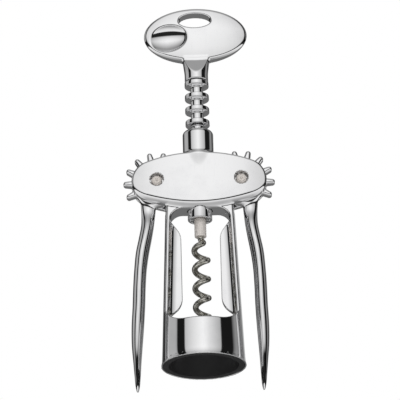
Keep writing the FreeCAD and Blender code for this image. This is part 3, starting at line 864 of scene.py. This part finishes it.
def makeShaftPieces():
    for node, material, slot, bore, edge in (
            ("spindle", spindleSteel, "spindle_steel", 0.0005, 0.3),
            ("thrust_washer", spindleSteel, "spindle_steel", 1.66, 0.12),
            ("worm_ferrule", ferruleSteel, "ferrule_steel", 1.45, 0.35)):
        low, high = boxOf(node)
        inner = 0.0 if bore < 0.01 else edge * 0.5
        profile = roundedProfile([
            (bore, low[2], inner),
            (high[0], low[2], edge),
            (high[0], high[2], edge),
            (bore, high[2], inner),
        ])
        piece = turnedSurface(node + "_turned", profile, 64)
        finishPiece(piece, material, "screw", slot, node)


makeShaftPieces()


wormWire = {
    "radius": 1.4,
    "outer": 4.5,
    "pitch": 9.45,
    "leadTurns": 0.55,
    "pointTurns": 0.75,
    "startAngle": 60.0,
    "drop": 0.06,
    "start": 64.2,
    "tip": 14.2,
}


def makeWorm():
    # Centre line: (reach cos a, reach sin a, start - pitch turn); reach grows from 0 to the full
    # radius over the lead-in. The wire's own radius falls away over the point.
    w = wormWire
    turns = (w["start"] - w["tip"]) / w["pitch"] - w["drop"]
    turn = np.linspace(0, turns, 420)
    reach = (w["outer"] - w["radius"]) * smoothStep(0, w["leadTurns"], turn)
    angle = math.radians(w["startAngle"]) - 2 * math.pi * turn
    line = np.stack([reach * np.cos(angle), reach * np.sin(angle),
                     w["start"] - w["pitch"] * (turn + w["drop"])], axis=-1)
    shank = np.linspace(w["start"] + 5, line[0, 2], 14)[:-1]
    line = np.concatenate([np.stack([shank * 0, shank * 0, shank], axis=-1), line])
    point = (turn - turns + w["pointTurns"]) / w["pointTurns"]
    size = w["radius"] * np.sqrt(np.clip(1 - np.clip(point, 0, 1) ** 1.5 * 0.985, 0.0, 1))
    size = np.concatenate([np.full(len(shank), w["radius"]), size])
    heading = np.gradient(line, axis=0)
    heading /= np.linalg.norm(heading, axis=1)[:, None]
    # the section's first direction is carried along the line, square to it
    side = np.array([0.9, 0.43, 0.0])
    outward = side - heading * (heading @ side)[:, None]
    for index in range(1, len(line)):
        kept = outward[index - 1] - heading[index] * (outward[index - 1] @ heading[index])
        outward[index] = kept / np.linalg.norm(kept)
    outward /= np.linalg.norm(outward, axis=1)[:, None]
    sideways = np.cross(heading, outward)
    around = np.linspace(0, 2 * math.pi, 28, endpoint=False)
    ring = (outward[:, None] * np.cos(around)[None, :, None]
            + sideways[:, None] * np.sin(around)[None, :, None])
    points = line[:, None] + ring * size[:, None, None]
    piece = gridSurface("worm_wire", points, caps=True)
    finishPiece(piece, darkWormSteel, "screw", "worm_steel", "worm")


makeWorm()
print("worm made")


studio = {
    "floorHeight": -20.5,
    "floorSize": 1400.0,
    "cameraTarget": (0.2, 0.0, 83.1),
    "cameraDistance": 1600.0,
    "cameraRise": 21.4,
    "cameraRoll": 1.5,
    "lens": 304.0,
    "floorColour": (0.86, 0.86, 0.86, 1),
    "floorRoughness": 0.7,
}


def makeFloor():
    material, tree, shader = newMaterial("paleFloor")
    shader.inputs["Base Color"].default_value = studio["floorColour"]
    shader.inputs["Roughness"].default_value = studio["floorRoughness"]
    clear = tree.nodes.new("ShaderNodeBsdfTransparent")
    back = tree.nodes.new("ShaderNodeNewGeometry").outputs["Backfacing"]
    mix = tree.nodes.new("ShaderNodeMixShader")
    tree.links.new(back, mix.inputs["Fac"])
    tree.links.new(shader.outputs[0], mix.inputs[1])
    tree.links.new(clear.outputs[0], mix.inputs[2])
    tree.links.new(mix.outputs[0], tree.nodes["Material Output"].inputs["Surface"])
    half = studio["floorSize"] / 2
    height = studio["floorHeight"]
    points = np.array([(-half, -half, height), (half, -half, height),
                       (half, half, height), (-half, half, height)])
    floor = storeMesh("pale_floor", points, np.array([[0, 1, 2, 3]]))
    floor.data.materials.append(material)
    floor.visible_glossy = False


studioLight = {
    # heading in degrees from the front towards the right, and brightness
    "panels": [
        (-180, 0.75), (-168, 0.55), (-160, 0.06), (-137, 0.03), (-124, 0.25), (-113, 0.46),
        (-87, 0.44), (-81, 0.36), (-78, 0.01), (-55, 0.01), (-52, 0.55), (-40, 0.67),
        (-28, 0.78), (-10, 0.92), (0, 0.98), (10, 0.90), (18, 0.80), (30, 0.68), (41, 0.57),
        (51, 0.46), (54, 0.01), (91, 0.01), (98, 0.18), (106, 0.28), (116, 0.27),
        (127, 0.04), (140, 0.03), (150, 0.30), (168, 0.60), (180, 0.75),
    ],
    # elevation in degrees and brightness: what the panels are scaled by
    "rise": [(-90, 0), (7, 0.02), (11, 0.72), (19, 0.95), (27, 1.04), (35, 0.85), (46, 0.60),
             (62, 0.36), (90, 0.30)],
    # elevation and brightness of the table and of the gap between table and panels
    "table": [(-90, 0.30), (-60, 0.42), (-28, 0.80), (-13, 0.90), (-10, 0.02), (90, 0.02)],
    # the ceiling's brightness, and the sines of elevation over which it comes in
    "ceiling": 0.36,
    "ceilingFrom": (0.84, 0.94),
    # the table's brightness behind the object, and how far back it comes in
    "tableBack": 0.16,
    "tableBackFrom": (0.30, 0.55),
}


def lightRamp(tree, place, stops, placeOf):
    ramp = tree.nodes.new("ShaderNodeValToRGB")
    tree.links.new(place, ramp.inputs["Fac"])
    elements = ramp.color_ramp.elements
    for index, (degrees, light) in enumerate(stops):
        spot = placeOf(degrees)
        element = elements[index] if index < 2 else elements.new(spot)
        element.position = spot
        element.color = (light, light, light, 1)
    return ramp.outputs["Color"]


def onSine(degrees):
    return math.sin(math.radians(degrees)) / 2 + 0.5


def onTurn(degrees):
    return degrees / 360 + 0.5


def makeWorld():
    # The studio is a ring of panels and flags round the object, over a bright table. Heading 0
    # is the front, and the ramps over elevation run along its sine.
    world = bpy.data.worlds.new("studioPanels")
    bpy.context.scene.world = world
    world.use_nodes = True
    tree = world.node_tree
    tree.nodes.clear()
    direction = tree.nodes.new("ShaderNodeTexCoord").outputs["Generated"]
    x, y, z = addNode(tree, "ShaderNodeSeparateXYZ", Vector=direction).outputs
    heading = mathNode(tree, "ARCTAN2", x, mathNode(tree, "MULTIPLY", y, -1.0))
    turn = mathNode(tree, "ADD", mathNode(tree, "DIVIDE", heading, 2 * math.pi), 0.5)
    height = mathNode(tree, "ADD", mathNode(tree, "MULTIPLY", z, 0.5), 0.5)
    panels = lightRamp(tree, turn, studioLight["panels"], onTurn)
    rise = lightRamp(tree, height, studioLight["rise"], onSine)
    table = lightRamp(tree, height, studioLight["table"], onSine)
    above = addNode(tree, "ShaderNodeMapRange", Value=z)
    above.inputs["From Min"].default_value = studioLight["ceilingFrom"][0]
    above.inputs["From Max"].default_value = studioLight["ceilingFrom"][1]
    ceiling = studioLight["ceiling"]
    behind = addNode(tree, "ShaderNodeMapRange", Value=y)
    behind.inputs["From Min"].default_value = studioLight["tableBackFrom"][0]
    behind.inputs["From Max"].default_value = studioLight["tableBackFrom"][1]
    backLight = studioLight["tableBack"]
    table = mixColours(tree, "MIX", behind.outputs[0], table, (backLight, backLight, backLight, 1))
    ring = mixColours(tree, "MULTIPLY", 1.0, panels, rise)
    ring = mixColours(tree, "MIX", above.outputs[0], ring, (ceiling, ceiling, ceiling, 1))
    studioAll = mixColours(tree, "MIX", mathNode(tree, "GREATER_THAN", z, 0.0), table, ring)
    shaped = addNode(tree, "ShaderNodeBackground", Color=studioAll, Strength=1.0)
    plain = addNode(tree, "ShaderNodeBackground", Color=(1, 1, 1, 1), Strength=1.0)
    path = tree.nodes.new("ShaderNodeLightPath").outputs
    seen = mathNode(tree, "MAXIMUM", path["Is Camera Ray"], path["Is Diffuse Ray"])
    mix = tree.nodes.new("ShaderNodeMixShader")
    tree.links.new(seen, mix.inputs["Fac"])
    tree.links.new(shaped.outputs[0], mix.inputs[1])
    tree.links.new(plain.outputs[0], mix.inputs[2])
    output = tree.nodes.new("ShaderNodeOutputWorld")
    tree.links.new(mix.outputs[0], output.inputs["Surface"])


def makeCamera():
    rise = math.radians(studio["cameraRise"])
    forward = Vector((0, math.cos(rise), math.sin(rise)))
    place = Vector(studio["cameraTarget"]) - forward * studio["cameraDistance"]
    data = bpy.data.cameras.new("camera")
    data.lens = studio["lens"]
    data.sensor_width = 36
    data.clip_end = 20
    camera = bpy.data.objects.new("camera", data)
    bpy.context.scene.collection.objects.link(camera)
    turn = forward.to_track_quat("-Z", "Y").to_matrix().to_4x4()
    roll = Matrix.Rotation(-math.radians(studio["cameraRoll"]), 4, "Z")
    camera.matrix_world = Matrix.Translation(place * mm) @ turn @ roll
    bpy.context.scene.camera = camera


makeFloor()
makeWorld()
makeCamera()
bpy.context.scene.view_settings.view_transform = "Standard"
print("studio made")
